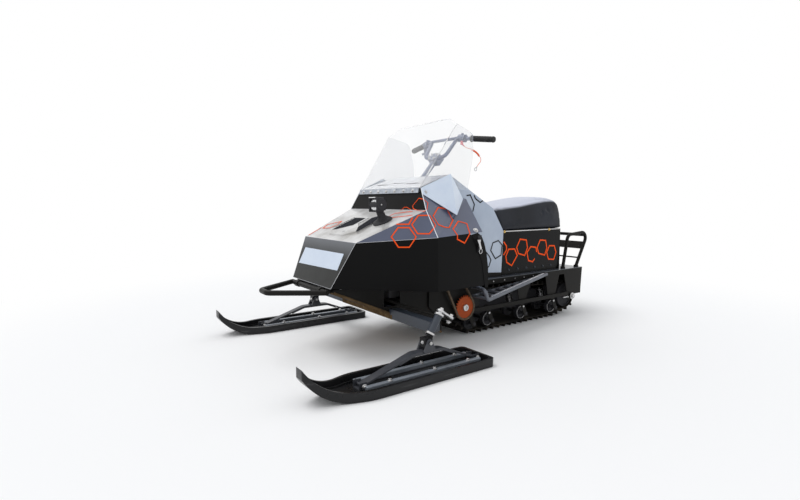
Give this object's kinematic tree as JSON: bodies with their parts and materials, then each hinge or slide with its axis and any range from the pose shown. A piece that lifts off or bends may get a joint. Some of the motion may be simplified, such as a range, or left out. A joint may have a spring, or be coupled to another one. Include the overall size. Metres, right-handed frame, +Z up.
{
  "type": "snowmobile",
  "caption": "Utility snowmobile with folded-plate hood, two skis, open handlebar steering, box seat and rubber track",
  "frame": {"origin": "under the middle of the whole outline, on the snow", "axes": "+X to the front, +Y to the rider's left, +Z up"},
  "size_m": [2.3328, 1.394, 1.2198],
  "materials": {
    "bare_steel": "brushed",
    "black_plastic": "matte",
    "black_sheet": "matte powder coat",
    "clear_sheet": "clear",
    "clip_pink": "gloss",
    "cord_black": "matte",
    "cord_orange": "gloss",
    "dark_frame": "satin powder coat",
    "engine_metal": "cast",
    "grey_blue_sheet": "satin powder coat",
    "grip_rubber": "matte",
    "lamp_body": "cast",
    "orange_metal": "satin powder coat",
    "pale_sheet": "satin powder coat",
    "seat_cover": "soft vinyl",
    "track_rubber": "moulded",
    "white_sheet": "gloss powder coat"
  },
  "bodies": {
    "frame": {"deck": "dark_frame", "side_plates": "dark_frame", "footboards": "dark_frame", "track": "track_rubber", "drive_axle": "black_plastic", "chain_sprocket": "orange_metal", "engine_sprocket": "bare_steel", "chain": "bare_steel", "rear_axle": "black_plastic", "track_wheels": "orange_metal", "roller_arms": "dark_frame", "lower_rails": "dark_frame", "belly_pan": "dark_frame", "engine_bearers": "dark_frame", "front_beam": "dark_frame", "bumper": "dark_frame", "engine": "engine_metal", "console": "pale_sheet", "seat_box": "dark_frame", "seat": "seat_cover", "rear_rack": "dark_frame", "snow_flap": "track_rubber", "tow_hitch": "dark_frame", "column_support": "dark_frame"},
    "hood": {"nose_panel": "black_sheet", "hood_top": "white_sheet", "hood_side_panels": "black_sheet", "hood_front_facets": "grey_blue_sheet", "hood_rear_facets": "grey_blue_sheet", "cowl_panel": "black_sheet", "cowl_strip": "bare_steel", "dash_cover": "white_sheet", "dash_shells": "pale_sheet", "windshield": "clear_sheet", "headlamp": "lamp_body", "headlamp_bracket": "black_plastic", "hood_latches": "bare_steel", "hood_hinges": "dark_frame"},
    "steering": {"steering_column": "bare_steel", "handlebar": "dark_frame", "handlebar_clamp": "bare_steel", "grips": "grip_rubber", "kill_switch_block": "black_plastic", "throttle_block": "black_plastic", "throttle_cable": "cord_black", "lanyard_clip": "clip_pink", "lanyard_upper_cord": "cord_orange", "lanyard_coil": "cord_orange", "lanyard_lower_cord": "cord_orange", "lanyard_hook": "bare_steel"},
    "spindle_left_body": {"spindle_left": "dark_frame"},
    "spindle_right_body": {"spindle_right": "dark_frame"},
    "tie_rod_left_body": {"tie_rod_left": "bare_steel"},
    "tie_rod_right_body": {"tie_rod_right": "bare_steel"},
    "ski_left_body": {"ski_left": "black_plastic", "ski_bow_left": "dark_frame"},
    "ski_right_body": {"ski_right": "black_plastic", "ski_bow_right": "dark_frame"}
  },
  "joints": [
    {"name": "hood_hinge", "type": "hinge", "parent": "frame", "child": "hood", "pos_m": [0.8594, 0, 0.342], "axis": [0, 1, 0], "range_deg": [0, 65]},
    {"name": "steering_turn", "type": "hinge", "parent": "frame", "child": "steering", "pos_m": [0.61823, 0, 0.34], "axis": [-0.6542, 0, 0.7564], "range_deg": [-25, 25]},
    {"name": "spindle_left_turn", "type": "hinge", "parent": "frame", "child": "spindle_left_body", "pos_m": [0.55839, 0.583, 0.147], "axis": [-0.5446, 0, 0.8387], "range_deg": [-25, 25]},
    {"name": "tie_rod_left_turn", "type": "hinge", "parent": "spindle_left_body", "child": "tie_rod_left_body", "pos_m": [0.41633, 0.583, 0.23723], "axis": [-0.5446, 0, 0.8387], "range_deg": [-25, 25]},
    {"name": "ski_left_pitch", "type": "hinge", "parent": "spindle_left_body", "child": "ski_left_body", "pos_m": [0.55839, 0.583, 0.147], "axis": [0, 1, 0], "range_deg": [-18, 8]},
    {"name": "spindle_right_turn", "type": "hinge", "parent": "frame", "child": "spindle_right_body", "pos_m": [0.55839, -0.583, 0.147], "axis": [-0.5446, 0, 0.8387], "range_deg": [-25, 25]},
    {"name": "tie_rod_right_turn", "type": "hinge", "parent": "spindle_right_body", "child": "tie_rod_right_body", "pos_m": [0.41633, -0.583, 0.23723], "axis": [-0.5446, 0, 0.8387], "range_deg": [-25, 25]},
    {"name": "ski_right_pitch", "type": "hinge", "parent": "spindle_right_body", "child": "ski_right_body", "pos_m": [0.55839, -0.583, 0.147], "axis": [0, 1, 0], "range_deg": [-18, 8]}
  ],
  "couplings": [
    {"joint": "spindle_left_turn", "follows": "steering_turn", "ratio": 1},
    {"joint": "tie_rod_left_turn", "follows": "steering_turn", "ratio": -1},
    {"joint": "spindle_right_turn", "follows": "steering_turn", "ratio": 1},
    {"joint": "tie_rod_right_turn", "follows": "steering_turn", "ratio": -1}
  ]
}
